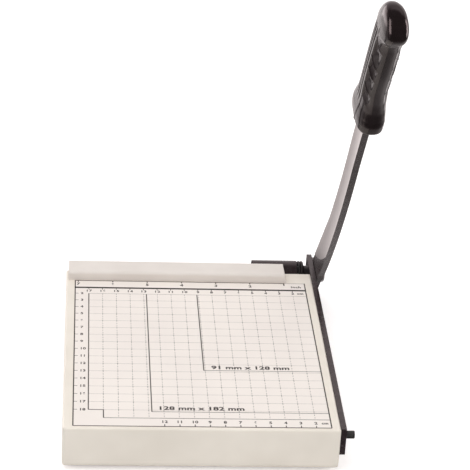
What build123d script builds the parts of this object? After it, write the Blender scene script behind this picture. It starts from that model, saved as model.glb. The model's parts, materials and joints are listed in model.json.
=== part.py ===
"""Business card cutter: a small desk trimmer with a steel deck and a spring-raised blade arm.

Everything is drawn about the cutting datum: X = 0 is the outer face of the fixed blade, where the
blades shear, Y = 0 is the edge of the printed scale at the fence and Z = 0 is the deck. X runs to the
right, Y to the back and Z up. The arm is drawn lying closed, then swung up to its rest. At the end the
whole cutter is set with the middle of its bounding box over the origin and its feet on Z = 0.
"""
from build123d import *
import math
import os

# ---- Clearances ----
fit_gap = 0.05  # radial play of a pin, screw or shaft in its hole
shear_gap = 0.05  # between the two blades
thrust_gap = 0.1  # between the pivot bush and the root of the arm
rest_gap = 0.3  # between bodies that only come to rest on each other

# ---- Base tray: pressed sheet, open underneath ----
tray_width = 183.0
tray_height = 31.0
tray_sheet = 1.2
tray_fold_radius = 1.3
tray_corner_radius = 1.9
tray_toe_radius = 5.0  # lower corners of each wall
rim_width = 20.0  # return flange round the opening, which carries the feet
deck_front = 203.0  # the deck's front edge, ahead of the scale's zero line
deck_back = 16.5  # and its back edge, behind that line

# ---- Printed scale sheet ----
label_sheet = 0.2
label_right_gap = 9.5  # from the cut to the sheet
label_left_gap = 6.3  # from the sheet to the deck's left edge
label_front_gap = 2.5  # and to its front edge

# ---- Paper fence: upturned channel over the deck's back edge ----
fence_height = 7.0
fence_wall = 2.0
fence_set_back = 0.5  # its face, behind the scale's zero line
fence_lip_depth = 4.0  # its back wall reaches this far below the deck
fence_lip_gap = 0.3
fence_right_gap = 25.0  # from the cut to the top of its right end
fence_left_gap = 1.8  # from the deck's left edge
fence_end_slope = 1.8  # that end runs out by this much at its foot
fence_front_radius = 2.0
fence_back_radius = 1.0
fence_boss_radius = 3.4
fence_screw_inset = 24.0  # from each end of the fence

# ---- Fixed blade: flat bar on the side of the tray ----
bar_thickness = 3.8
bar_height = 20.7
bar_front_inset = 2.0  # its front end, behind the deck's front edge
bar_tail = 18.6  # its rear end, behind the pivot
bar_corner_radius = 2.0
bar_screw_radius = 2.0
bar_screw_drop = 12.0  # below the deck
bar_screw_front_gap = 22.0  # from the stop stud to the first screw
bar_screw_rear_gap = 22.5  # from the last screw to the deck's back edge
bar_screw_count = 4
bar_screw_tip_gap = 0.5  # each tip ends this far short of the cutting face

# ---- Pivot ----
pivot_cup_gap = 2.0  # from the fence's back wall to the spring cup
pivot_drop = 5.6  # below the deck
bolt_radius = 3.0
bolt_neck_radius = 4.0  # neck with two flats, keyed in the arm
bolt_neck_flat = 3.1  # from the axis to each flat
bolt_key_flat = 2.4  # the same where the bolt passes the cup's web
bolt_end_proud = 0.5  # out of its nut
bolt_head_radius = 7.2
bolt_head_height = 2.4
bush_collar_radius = 5.0
bush_collar_length = 4.2
bush_spigot_radius = 4.2
pivot_washer_radius = 8.0
pivot_washer_thickness = 0.8
pivot_washer_dish = 0.5

# ---- Spring cup and spring ----
cup_radius = 8.6
cup_wall = 0.5
cup_length = 33.5
cup_web = 2.0
cup_recess = 5.5
coil_exposed = 5.5  # length of coil between the cup and the bush's collar
wire_radius = 1.0
coil_radius = 7.0  # to the middle of the wire
coil_pitch = 2.35
coil_end_gap = 0.3
spring_leg_reach = 16.5  # the right leg, from the axis
cup_washer_radius = 5.8
cup_washer_thickness = 0.8
nut_flats = 10.0
nut_height = 4.0

# ---- Anchor pin: takes the spring's leg inside and stops the raised arm outside ----
anchor_pin_radius = 1.5
anchor_pin_inner = 9.0  # length that stands out on the inner side
anchor_pin_outer = 4.0
anchor_pin_chamfer = 0.3

# ---- Blade arm, lying closed: reach runs forward from the pivot, height is over its axis ----
open_angle = 45.5  # from lying closed to the raised rest
arm_thickness = 4.5
root_radius = 12.7
root_top = 11.3  # the root's upper side, over the axis
root_flat = 10.0  # and its underside, under the axis
root_relief = 0.3  # the painted root is set back from the ground face
heel_radius = 17.5  # stop heel behind the pivot
heel_width = 7.0
throat_reach = 10.7  # the notch between the root and the blade's nose
nose_reach = 23.4
nose_height = -13.0
edge_heel_reach = 28.5
edge_heel_height = -11.9
edge_mid_reach = 127.0
edge_mid_height = -10.1
edge_stop_height = 1.35  # where the edge comes down over the stop stud
blade_width = 20.6
spine_start_share = 0.38  # of the curved edge, where the spine begins to follow it
ground_start_reach = 8.0  # the ground face begins here on the spine
ground_start_height = 13.0
ground_mid_reach = 48.0
ground_mid_height = -5.2
ground_end_reach = 90.0  # and its boundary meets the cutting edge here
ground_end_height = -14.0

# ---- Handle: along runs up its own axis from the pivot, across runs from the spine to the edge ----
handle_slope = 6.5  # degrees that the handle's axis rises while the arm lies closed
grip_start = 276.5
grip_end = 405.0
grip_back = -2.0
grip_front = 25.5
rim_half_width = 8.9
rim_shift = 1.0  # each shift moves a section's middle to the right of the blade's middle
rim_back = 0.3
rim_front = 25.8
flare_length = 12.0
flare_half_width = 9.6
flare_shift = 0.3
flare_back = -1.5
flare_front = 28.4
skirt_length = 37.0
waist_half_width = 7.0
waist_shift = -0.6
pommel_length = 26.0
neck_half_width = 7.5
neck_shift = 0.6
pommel_half_width = 7.7
pommel_shift = 1.1
pommel_front = 27.6
shoulder_length = 8.0  # from the pommel's shoulder to its end
shoulder_half_width = 7.1
shoulder_back = 3.5
shoulder_front = 27.0
crown_half_width = 4.5
crown_back = 10.0
crown_front = 22.5
grip_corner_share = 0.94  # corner radius of each section, as a share of its half width
finger_count = 4
finger_pitch = 16.0
finger_first = 317.0  # middle of the first finger groove
finger_depth = 2.2
blade_sunk = 4.0  # the full blade goes this far into the skirt
blade_edge_across = 23.8  # place of the cutting edge at the skirt
tang_across = 13.0
tang_width = 13.0
tang_end = 385.0
slot_gap = 0.1
handle_pin_radius = 2.0
handle_pin_sunk = 0.4
handle_pin_first = 322.0
handle_pin_pitch = 40.0

# ---- Stop stud at the front end of the fixed blade ----
stud_inset = 5.0  # behind the bar's front end
stud_radius = 1.5
sleeve_radius = 2.65
sleeve_length = 4.8
stud_head_height = 1.2
stud_end_proud = 1.0
stud_nut_flats = 5.5
stud_nut_height = 2.4

# ---- Small fasteners and feet ----
screw_head_height = 2.2
socket_depth = 1.1
bar_screw_head_radius = 3.6
bar_washer_radius = 4.2
bar_washer_thickness = 0.8
fence_screw_radius = 1.5
fence_screw_head_radius = 2.8
fence_screw_length = 6.2
fence_washer_radius = 3.6
fence_washer_thickness = 0.6
foot_radius = 6.0
foot_height = 2.0
foot_edge_radius = 0.5
foot_inset = 13.0  # from the walls to each foot's middle
foot_recess_radius = 3.2
foot_recess_depth = 1.0
rivet_radius = 1.5
rivet_head_radius = 2.8
rivet_head_height = 0.7

# ---- Places that follow from the sizes above ----
tray_right = -bar_thickness
tray_left = tray_right - tray_width
tray_front = -deck_front
tray_rear = deck_back
tray_depth = tray_rear - tray_front
tray_mid_x = (tray_left + tray_right) / 2
tray_mid_y = (tray_front + tray_rear) / 2
wall_inside = tray_right - tray_sheet
fence_right = -fence_right_gap
fence_left = tray_left + fence_left_gap
fence_lip_face = tray_rear + fence_lip_gap
fence_rear = fence_lip_face + fence_wall
fence_screw_y = (fence_set_back + fence_rear) / 2
pivot_y = fence_rear + pivot_cup_gap + cup_radius
pivot_z = -pivot_drop
pivot_line = Axis((0, pivot_y, pivot_z), (1, 0, 0))
arm_inner = shear_gap
arm_outer = arm_inner + arm_thickness
root_inner = arm_inner + root_relief
bush_end = root_inner - thrust_gap
washer_end = arm_outer + pivot_washer_dish + pivot_washer_thickness
collar_left = -bar_thickness - bush_collar_length
cup_right = collar_left - coil_exposed
cup_left = cup_right - cup_length
web_left = cup_left + cup_recess
web_right = web_left + cup_web
nut_right = web_left - cup_washer_thickness
nut_left = nut_right - nut_height
leg_z = pivot_z - coil_radius
anchor_z = leg_z + wire_radius + fit_gap + anchor_pin_radius
anchor_reach = root_radius + rest_gap + anchor_pin_radius
anchor_y = pivot_y + math.sqrt(anchor_reach**2 - (anchor_z - pivot_z) ** 2)
bar_front = tray_front + bar_front_inset
bar_rear = pivot_y + bar_tail
stud_y = bar_front + stud_inset
stud_z = pivot_z + edge_stop_height - rest_gap - sleeve_radius
stop_reach = pivot_y - stud_y
blade_end = grip_start + blade_sunk
blade_middle_x = (arm_inner + arm_outer) / 2
grip_half_width = (waist_half_width + neck_half_width) / 2
grip_middle_x = blade_middle_x + (waist_shift + neck_shift) / 2


def cylinder_x(x_from, x_to, radius, y=pivot_y, z=pivot_z):
    """Round bar along X between two planes, on the pivot axis unless placed elsewhere."""
    disc = Plane(origin=(x_from, y, z), x_dir=(0, 1, 0), z_dir=(1, 0, 0)) * Circle(radius)
    return extrude(disc, x_to - x_from)


def cylinder_z(z_from, z_to, radius, x, y):
    """Round bar along Z between two planes."""
    return extrude(Plane.XY.offset(z_from) * Pos(x, y) * Circle(radius), z_to - z_from)


def hexagon_x(x_from, x_to, across_flats, y=pivot_y, z=pivot_z):
    """Hexagonal bar along X between two planes."""
    corner = across_flats / 2 / math.cos(math.radians(30))
    plane = Plane(origin=(x_from, y, z), x_dir=(0, 1, 0), z_dir=(1, 0, 0))
    return extrude(plane * RegularPolygon(radius=corner, side_count=6), x_to - x_from)


def flatted_bar_x(x_from, x_to, radius, flat):
    """Round bar on the pivot axis with two flats, each at the distance flat from the axis."""
    plane = Plane(origin=(x_from, pivot_y, pivot_z), x_dir=(0, 1, 0), z_dir=(1, 0, 0))
    outline = Circle(radius) & Rectangle(4 * radius, 2 * flat)
    return extrude(plane * outline, x_to - x_from)


def block(x_from, x_to, y_from, y_to, z_from, z_to):
    """Block between three pairs of planes."""
    middle = Pos((x_from + x_to) / 2, (y_from + y_to) / 2, (z_from + z_to) / 2)
    return middle * Box(x_to - x_from, y_to - y_from, z_to - z_from)


def raised(solid):
    """Swings a piece that turns with the arm from lying closed up to the raised rest."""
    return solid.rotate(pivot_line, -open_angle)


# ---------------------------------------------------------------- base


def wall_outline(width, height, fold_radius, toe_radius):
    """Outline of a tray wall: small folds at the top, larger corners at the foot."""
    outline = Rectangle(width, height)
    outline = fillet(outline.vertices().group_by(Axis.Y)[0], toe_radius)
    return fillet(outline.vertices().group_by(Axis.Y)[-1], fold_radius)


def pressed_box(inset, corner_radius, fold_radius, toe_radius):
    """Tray-shaped block with rounded corners, its faces moved in by the inset."""
    width = tray_width - 2 * inset
    depth = tray_depth - 2 * inset
    height = tray_height - 2 * inset
    middle = Vector(tray_mid_x, tray_mid_y, -tray_height / 2)
    plan = Plane.XY.offset(inset - tray_height) * Pos(tray_mid_x, tray_mid_y)
    front = Plane(origin=middle, x_dir=(1, 0, 0), z_dir=(0, -1, 0))
    side = Plane(origin=middle, x_dir=(0, 1, 0), z_dir=(1, 0, 0))
    box = extrude(plan * RectangleRounded(width, depth, corner_radius), height)
    box = box & extrude(front * wall_outline(width, height, fold_radius, toe_radius), depth, both=True)
    return box & extrude(side * wall_outline(depth, height, fold_radius, toe_radius), width, both=True)


def bar_screw_places():
    """Y of each screw that holds the fixed blade."""
    first = stud_y + bar_screw_front_gap
    pitch = (tray_rear - bar_screw_rear_gap - first) / (bar_screw_count - 1)
    return [first + index * pitch for index in range(bar_screw_count)]


def fence_screw_places():
    """X of each screw that holds the fence."""
    return [fence_left + fence_screw_inset, fence_right - fence_screw_inset]


def foot_places():
    """Middle of each foot, at the four corners of the rim."""
    xs = (tray_left + foot_inset, tray_right - foot_inset)
    ys = (tray_front + foot_inset, tray_rear - foot_inset)
    return [(x, y) for x in xs for y in ys]


def make_base_tray():
    """Pressed tray with its opening underneath and a return flange round the opening."""
    inner_corner = max(tray_corner_radius - tray_sheet, 0.2)
    inner_toe = max(tray_toe_radius - tray_sheet, 0.2)
    tray = pressed_box(0, tray_corner_radius, tray_fold_radius, tray_toe_radius)
    tray -= pressed_box(tray_sheet, inner_corner, max(tray_fold_radius - tray_sheet, 0.1), inner_toe)
    tray -= block(
        tray_left + rim_width,
        tray_right - rim_width,
        tray_front + rim_width,
        tray_rear - rim_width,
        -tray_height - tray_sheet,
        -tray_height + 2 * tray_sheet,
    )
    for y in bar_screw_places():
        hole = cylinder_x(wall_inside - 1, tray_right + 1, bar_screw_radius + fit_gap, y, -bar_screw_drop)
        tray -= hole
    tray -= cylinder_x(wall_inside - 1, tray_right + 1, stud_radius + fit_gap, stud_y, stud_z)
    for x in fence_screw_places():
        tray -= cylinder_z(-tray_sheet - 1, 1, fence_screw_radius + fit_gap, x, fence_screw_y)
    for x, y in foot_places():
        tray -= cylinder_z(-tray_height - 1, -tray_height + tray_sheet + 1, rivet_radius + fit_gap, x, y)
    return tray


def make_scale_label():
    """Thin printed sheet stuck on the deck, with its back edge at the zero line."""
    left = tray_left + label_left_gap
    return block(left, -label_right_gap, tray_front + label_front_gap, 0, 0, label_sheet)


def make_paper_fence():
    """Upturned channel with closed ends; its back wall hooks over the deck's back edge."""
    end = fence_right + fence_end_slope
    outer = block(fence_left, end, fence_set_back, fence_rear, 0, fence_height)
    front_top = outer.edges().filter_by(Axis.X).group_by(Axis.Z)[-1].sort_by(Axis.Y)[0]
    outer = fillet(front_top, fence_front_radius)
    back_top = outer.edges().filter_by(Axis.X).group_by(Axis.Z)[-1].sort_by(Axis.Y)[-1]
    outer = fillet(back_top, fence_back_radius)
    wedge = Polyline((end, 0), (end, fence_height), (fence_right, fence_height), close=True)
    side = Plane(origin=(0, fence_rear, 0), x_dir=(1, 0, 0), z_dir=(0, -1, 0))
    outer -= extrude(side * make_face(wedge), fence_rear - fence_set_back)
    fence = outer - block(
        fence_left + fence_wall,
        fence_right - fence_wall,
        fence_set_back + fence_wall,
        fence_rear - fence_wall,
        0,
        fence_height - fence_wall,
    )
    fence += block(fence_left, fence_right, fence_lip_face, fence_rear, -fence_lip_depth, 0)
    pilot_top = fence_screw_length - tray_sheet - fence_washer_thickness + fit_gap
    for x in fence_screw_places():
        fence += cylinder_z(0, fence_height - fence_wall, fence_boss_radius, x, fence_screw_y)
        fence -= cylinder_z(-1, pilot_top, fence_screw_radius + fit_gap, x, fence_screw_y)
    return fence


def make_fence_screws():
    """Pan-head screws up through the deck into the fence's bosses, with a cross recess."""
    head_top = -tray_sheet - fence_washer_thickness
    head_low = head_top - screw_head_height
    screws = []
    for x in fence_screw_places():
        head = cylinder_z(head_low, head_top, fence_screw_head_radius, x, fence_screw_y)
        head = fillet(head.edges().group_by(Axis.Z)[0], screw_head_height / 3)
        shank = cylinder_z(head_top, head_top + fence_screw_length, fence_screw_radius, x, fence_screw_y)
        recess = Pos(x, fence_screw_y, head_low) * (
            Box(2 * fence_screw_radius, fence_screw_radius / 2, 2 * socket_depth)
            + Box(fence_screw_radius / 2, 2 * fence_screw_radius, 2 * socket_depth)
        )
        screws.append(head + shank - recess)
    return Compound(children=screws)


def make_fence_washers():
    """Flat washers between the fence screws' heads and the deck sheet."""
    low = -tray_sheet - fence_washer_thickness
    washers = []
    for x in fence_screw_places():
        ring = cylinder_z(low, -tray_sheet, fence_washer_radius, x, fence_screw_y)
        washers.append(ring - cylinder_z(low - 1, 0, fence_screw_radius + fit_gap, x, fence_screw_y))
    return Compound(children=washers)


def make_rubber_feet():
    """Four rubber discs under the rim, recessed for their rivets."""
    top = -tray_height
    bottom = top - foot_height
    feet = []
    for x, y in foot_places():
        foot = cylinder_z(bottom, top, foot_radius, x, y)
        foot = fillet(foot.edges().group_by(Axis.Z)[0], foot_edge_radius)
        foot -= cylinder_z(bottom - 1, bottom + foot_recess_depth, foot_recess_radius, x, y)
        feet.append(foot - cylinder_z(bottom - 1, top + 1, rivet_radius + fit_gap, x, y))
    return Compound(children=feet)


def make_foot_rivets():
    """One rivet through each foot and the rim, headed in the foot's recess and above the rim."""
    seat = -tray_height - foot_height + foot_recess_depth
    rim_top = -tray_height + tray_sheet
    rivets = []
    for x, y in foot_places():
        rivet = cylinder_z(seat - rivet_head_height, seat, rivet_head_radius, x, y)
        rivet += cylinder_z(seat, rim_top, rivet_radius, x, y)
        upset = cylinder_z(rim_top, rim_top + rivet_head_height, rivet_head_radius, x, y)
        rivets.append(rivet + fillet(upset.edges().group_by(Axis.Z)[-1], rivet_head_height / 2))
    return Compound(children=rivets)


# ---------------------------------------------------------------- fixed blade and stop


def make_fixed_blade():
    """Flat bar along the side of the tray; its tail carries the pivot and the anchor pin."""
    bar = block(-bar_thickness, 0, bar_front, bar_rear, -bar_height, 0)
    bar = fillet(bar.edges().filter_by(Axis.X).group_by(Axis.Z)[0], bar_corner_radius)
    holes = [(y, -bar_screw_drop, bar_screw_radius) for y in bar_screw_places()]
    holes.append((stud_y, stud_z, stud_radius))
    holes.append((pivot_y, pivot_z, bush_spigot_radius))
    holes.append((anchor_y, anchor_z, anchor_pin_radius))
    for y, z, radius in holes:
        bar -= cylinder_x(-bar_thickness - 1, 1, radius + fit_gap, y, z)
    return bar


def make_blade_screws():
    """Socket-head screws from inside the tray into the fixed blade."""
    head_right = wall_inside - bar_washer_thickness
    head_left = head_right - screw_head_height
    screws = []
    for y in bar_screw_places():
        head = cylinder_x(head_left, head_right, bar_screw_head_radius, y, -bar_screw_drop)
        head = fillet(head.edges().group_by(Axis.X)[0], screw_head_height / 3)
        shank = cylinder_x(head_right, -bar_screw_tip_gap, bar_screw_radius, y, -bar_screw_drop)
        socket_end = head_left + socket_depth
        socket = hexagon_x(head_left - 1, socket_end, bar_screw_radius * 1.25, y, -bar_screw_drop)
        screws.append(head + shank - socket)
    return Compound(children=screws)


def make_blade_screw_washers():
    """Washers between the screws' heads and the side wall."""
    left = wall_inside - bar_washer_thickness
    washers = []
    for y in bar_screw_places():
        ring = cylinder_x(left, wall_inside, bar_washer_radius, y, -bar_screw_drop)
        hole = cylinder_x(left - 1, wall_inside + 1, bar_screw_radius + fit_gap, y, -bar_screw_drop)
        washers.append(ring - hole)
    return Compound(children=washers)


def make_stop_screw():
    """Stud through the bar's front end; its round head keeps the sleeve on."""
    end = wall_inside - stud_nut_height - stud_end_proud
    shank = cylinder_x(end, sleeve_length, stud_radius, stud_y, stud_z)
    head = cylinder_x(sleeve_length, sleeve_length + stud_head_height, sleeve_radius, stud_y, stud_z)
    return shank + fillet(head.edges().group_by(Axis.X)[-1], stud_head_height / 3)


def make_stop_sleeve():
    """Soft tube on the stud, where the arm comes to rest."""
    tube = cylinder_x(0, sleeve_length, sleeve_radius, stud_y, stud_z)
    return tube - cylinder_x(-1, sleeve_length + 1, stud_radius + fit_gap, stud_y, stud_z)


def make_stop_nut():
    """Nut that holds the stud from inside the tray."""
    left = wall_inside - stud_nut_height
    nut = hexagon_x(left, wall_inside, stud_nut_flats, stud_y, stud_z)
    return nut - cylinder_x(left - 1, wall_inside + 1, stud_radius + fit_gap, stud_y, stud_z)


# ---------------------------------------------------------------- pivot and spring


def make_pivot_bush():
    """Collared bush in the bar's tail, in which the pivot bolt turns."""
    collar = cylinder_x(collar_left, -bar_thickness, bush_collar_radius)
    collar = chamfer(collar.edges().group_by(Axis.X)[0], 0.4)
    spigot = cylinder_x(-bar_thickness, bush_end, bush_spigot_radius)
    return collar + spigot - cylinder_x(collar_left - 1, bush_end + 1, bolt_radius + fit_gap)


def make_pivot_bolt():
    """Domed bolt keyed in the arm and in the cup's web; it turns in the bush."""
    head = cylinder_x(washer_end, washer_end + bolt_head_height, bolt_head_radius)
    head = fillet(head.edges().group_by(Axis.X)[-1], bolt_head_height * 0.8)
    neck = flatted_bar_x(root_inner, washer_end, bolt_neck_radius, bolt_neck_flat)
    shank = cylinder_x(web_right, root_inner, bolt_radius)
    key = flatted_bar_x(web_left, web_right, bolt_radius, bolt_key_flat)
    thread = cylinder_x(nut_left - bolt_end_proud, web_left, bolt_radius)
    return raised(head + neck + shank + key + thread)


def make_pivot_washer():
    """Dished spring washer under the bolt's head; its rim bears on the arm."""
    hole = bolt_neck_radius + fit_gap
    plane = Plane(origin=(arm_outer, pivot_y, pivot_z), x_dir=(0, 1, 0), z_dir=(0, 0, -1))
    outline = Polyline(
        (hole, pivot_washer_dish),
        (pivot_washer_radius, 0),
        (pivot_washer_radius, pivot_washer_thickness),
        (hole, pivot_washer_dish + pivot_washer_thickness),
        close=True,
    )
    return revolve(plane * make_face(outline), pivot_line, 360)


def make_spring_cup():
    """Thin tube round the coil; its web is keyed to the bolt and takes the spring's tang."""
    cup = cylinder_x(cup_left, cup_right, cup_radius)
    cup -= cylinder_x(cup_left - 1, web_left, cup_radius - cup_wall)
    cup -= cylinder_x(web_right, cup_right + 1, cup_radius - cup_wall)
    cup -= raised(flatted_bar_x(web_left - 1, web_right + 1, bolt_radius + fit_gap, bolt_key_flat + fit_gap))
    tang_hole = cylinder_x(web_left - 1, web_right + 1, wire_radius + fit_gap, pivot_y, pivot_z + coil_radius)
    return cup - tang_hole


def make_return_spring():
    """Torsion coil between the cup's web and the bush, with a tang in the web and a leg under the pin."""
    start_x = web_right + coil_end_gap + wire_radius
    end_x = collar_left - coil_end_gap - wire_radius
    half_turns = 2 * math.floor((end_x - start_x) / coil_pitch) + 1
    helix = Helix(2 * (end_x - start_x) / half_turns, end_x - start_x, coil_radius)
    wire = sweep(Plane(origin=helix @ 0, z_dir=helix % 0) * Circle(wire_radius), path=helix)
    wire += extrude(Plane(origin=helix @ 1, z_dir=helix % 1) * Circle(wire_radius), spring_leg_reach)
    # the helix winds about Z from its +X side: laid along X, it starts above the axis and ends below it
    laid = Plane(origin=(start_x, pivot_y, pivot_z), x_dir=(0, 0, 1), z_dir=(1, 0, 0))
    tang = cylinder_x(web_left, start_x, wire_radius, pivot_y, pivot_z + coil_radius)
    elbow = Pos(start_x, pivot_y, pivot_z + coil_radius) * Sphere(wire_radius)
    return laid.location * wire + elbow + tang


def make_cup_washer():
    """Flat washer between the cup's web and the nut."""
    ring = cylinder_x(nut_right, web_left, cup_washer_radius)
    return ring - cylinder_x(nut_right - 1, web_left + 1, bolt_radius + fit_gap)


def make_cup_nut():
    """Lock nut sunk in the cup's left end; it sets how hard the blades press together."""
    nut = hexagon_x(nut_left, nut_right, nut_flats)
    return raised(nut - cylinder_x(nut_left - 1, nut_right + 1, bolt_radius + fit_gap))


def make_anchor_pin():
    """Cross pin pressed in the bar's tail."""
    pin_left = -bar_thickness - anchor_pin_inner
    pin = cylinder_x(pin_left, anchor_pin_outer, anchor_pin_radius, anchor_y, anchor_z)
    return chamfer(pin.edges().filter_by(GeomType.CIRCLE), anchor_pin_chamfer)


# ---------------------------------------------------------------- arm and handle


def on_handle(along, across):
    """Reach and height of a point that is given along and across the handle."""
    slope = math.radians(handle_slope)
    reach = along * math.cos(slope) + across * math.sin(slope)
    return reach, along * math.sin(slope) - across * math.cos(slope)


def root_outline():
    """Round root between two flat sides."""
    band = Pos(0, (root_top - root_flat) / 2) * Rectangle(4 * root_radius, root_top + root_flat)
    return Circle(root_radius) & band


def heel_outline():
    """Heel whose lower side rests on the anchor pin while the arm is raised."""
    pin_turn = math.degrees(math.atan2(anchor_z - pivot_z, anchor_y - pivot_y))
    side_turn = math.degrees(math.asin((anchor_pin_radius + rest_gap) / anchor_reach))
    heel = Pos(heel_radius / 2, heel_width / 2) * Rectangle(heel_radius, heel_width)
    tip = fillet(heel.vertices().sort_by(Axis.X)[-2:], heel_width / 5)
    return mirror(Rot(0, 0, pin_turn + side_turn + open_angle) * tip, Plane.YZ)


def blade_outline():
    """Curved blade: the spine follows the cutting edge at the blade's width, then runs to the root."""
    edge = ThreePointArc(
        (edge_heel_reach, edge_heel_height), (edge_mid_reach, edge_mid_height), (stop_reach, edge_stop_height)
    )

    def spine_point(share):
        """Point of the spine square to the edge at a share of the curve."""
        return edge @ share + (edge % share).rotate(Axis.Z, 90) * blade_width

    spine_middle_share = (1 + spine_start_share) / 2
    spine = ThreePointArc(spine_point(1), spine_point(spine_middle_share), spine_point(spine_start_share))
    outline = [
        edge,
        Polyline(
            edge @ 1,
            on_handle(blade_end, blade_edge_across),
            on_handle(blade_end, blade_edge_across - blade_width),
            spine @ 0,
        ),
        spine,
        Polyline(
            spine @ 1,
            (0, root_top),
            (0, -root_flat),
            (throat_reach, -root_flat),
            (nose_reach, nose_height),
            edge @ 0,
        ),
    ]
    return make_face(outline)


def tang_outline():
    """Narrow tang inside the handle."""
    near = tang_across - tang_width / 2
    far = tang_across + tang_width / 2
    start = blade_end - tang_width / 2
    corners = [(start, near), (tang_end, near), (tang_end, far), (start, far)]
    return make_face(Polyline(*[on_handle(along, across) for along, across in corners], close=True))


def arm_plane(x):
    """Plane of the arm's outlines at the place x, looking at its inner face."""
    return Plane(origin=(x, pivot_y, pivot_z), x_dir=(0, -1, 0), z_dir=(-1, 0, 0))


def make_blade_arm():
    """Moving blade, cut from one plate: root, heel, curved blade and tang."""
    outline = root_outline() + heel_outline() + blade_outline() + tang_outline()
    arm = extrude(arm_plane(arm_inner) * outline, arm_thickness, dir=(1, 0, 0))
    painted = [
        ThreePointArc(
            (ground_start_reach, ground_start_height),
            (ground_mid_reach, ground_mid_height),
            (ground_end_reach, ground_end_height),
        ),
        Polyline(
            (ground_end_reach, ground_end_height),
            (ground_end_reach, -3 * root_radius),
            (-2 * heel_radius, -3 * root_radius),
            (-2 * heel_radius, 3 * root_radius),
            (ground_start_reach, 3 * root_radius),
            (ground_start_reach, ground_start_height),
        ),
    ]
    arm -= extrude(arm_plane(arm_inner) * make_face(painted), root_relief, dir=(1, 0, 0))
    arm -= flatted_bar_x(arm_inner - 1, arm_outer + 1, bolt_neck_radius + fit_gap, bolt_neck_flat + fit_gap)
    for pin in handle_pin_solids(fit_gap):
        arm -= pin
    return raised(arm)


def grip_section(along, half_width, shift, back, front):
    """Rounded section of the handle, square to its axis."""
    reach, height = on_handle(along, (back + front) / 2)
    slope = math.radians(handle_slope)
    plane = Plane(
        origin=(blade_middle_x + shift, pivot_y - reach, pivot_z + height),
        x_dir=(1, 0, 0),
        z_dir=(0, -math.cos(slope), math.sin(slope)),
    )
    return plane * RectangleRounded(2 * half_width, front - back, grip_corner_share * half_width)


def handle_pin_solids(gap=0.0):
    """The two cross pins of the handle, or their holes with the given gap."""
    reach = grip_half_width - handle_pin_sunk + gap
    pins = []
    for along in (handle_pin_first, handle_pin_first + handle_pin_pitch):
        forward, height = on_handle(along, tang_across)
        y = pivot_y - forward
        z = pivot_z + height
        pins.append(cylinder_x(grip_middle_x - reach, grip_middle_x + reach, handle_pin_radius + gap, y, z))
    return pins


def make_handle_pins():
    """Two plain pins through the handle and the tang."""
    return Compound(children=[raised(pin) for pin in handle_pin_solids()])


def make_handle_grip():
    """Moulded handle: flared skirt over the blade, finger grooves and a hooked pommel."""
    flare = grip_start + flare_length
    waist = grip_start + skirt_length
    neck = grip_end - pommel_length
    shoulder = grip_end - shoulder_length
    pommel = (neck + shoulder) / 2
    middle = (waist + neck) / 2
    middle_shift = (waist_shift + neck_shift) / 2
    grip = loft(
        [
            grip_section(grip_start, rim_half_width, rim_shift, rim_back, rim_front),
            grip_section(flare, flare_half_width, flare_shift, flare_back, flare_front),
            grip_section(waist, waist_half_width, waist_shift, grip_back, grip_front),
            grip_section(middle, grip_half_width, middle_shift, grip_back, grip_front),
            grip_section(neck, neck_half_width, neck_shift, grip_back, grip_front),
            grip_section(pommel, pommel_half_width, pommel_shift, grip_back, pommel_front),
            grip_section(shoulder, shoulder_half_width, pommel_shift, shoulder_back, shoulder_front),
            grip_section(grip_end, crown_half_width, pommel_shift, crown_back, crown_front),
        ]
    )
    groove_radius = (finger_pitch**2 / 4 + finger_depth**2) / (2 * finger_depth)
    for index in range(finger_count):
        along = finger_first + index * finger_pitch
        reach, height = on_handle(along, grip_front - finger_depth + groove_radius)
        y = pivot_y - reach
        z = pivot_z + height
        left = grip_middle_x - 2 * flare_half_width
        grip -= cylinder_x(left, left + 4 * flare_half_width, groove_radius, y, z)
    slot_left = arm_inner - slot_gap
    slot_width = arm_thickness + 2 * slot_gap
    slot = offset(tang_outline(), slot_gap)
    mouth_near = blade_edge_across - blade_width - slot_gap
    mouth_far = blade_edge_across + slot_gap
    mouth_low = grip_start - 1
    mouth_high = blade_end + slot_gap
    mouth = [
        on_handle(mouth_low, mouth_near),
        on_handle(mouth_high, mouth_near),
        on_handle(mouth_high, mouth_far),
        on_handle(mouth_low, mouth_far),
    ]
    slot += make_face(Polyline(*mouth, close=True))
    grip -= extrude(arm_plane(slot_left) * slot, slot_width, dir=(1, 0, 0))
    for pin in handle_pin_solids(fit_gap):
        grip -= pin
    return raised(grip)


# ---------------------------------------------------------------- the whole cutter

nodes = {
    "base_tray": make_base_tray(),
    "scale_label": make_scale_label(),
    "paper_fence": make_paper_fence(),
    "fence_screws": make_fence_screws(),
    "fence_washers": make_fence_washers(),
    "rubber_feet": make_rubber_feet(),
    "foot_rivets": make_foot_rivets(),
    "fixed_blade": make_fixed_blade(),
    "blade_screws": make_blade_screws(),
    "blade_screw_washers": make_blade_screw_washers(),
    "stop_screw": make_stop_screw(),
    "stop_sleeve": make_stop_sleeve(),
    "stop_nut": make_stop_nut(),
    "pivot_bush": make_pivot_bush(),
    "anchor_pin": make_anchor_pin(),
    "return_spring": make_return_spring(),
    "pivot_bolt": make_pivot_bolt(),
    "pivot_washer": make_pivot_washer(),
    "spring_cup": make_spring_cup(),
    "cup_washer": make_cup_washer(),
    "cup_nut": make_cup_nut(),
    "blade_arm": make_blade_arm(),
    "handle_grip": make_handle_grip(),
    "handle_pins": make_handle_pins(),
}

whole = Compound([solid for node in nodes.values() for solid in node.solids()]).bounding_box()
origin = Vector(whole.center().X, whole.center().Y, whole.min.Z)

os.makedirs("parts", exist_ok=True)
for name, solid in nodes.items():
    export_step(Pos(-origin) * solid, f"parts/{name}.step")
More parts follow.
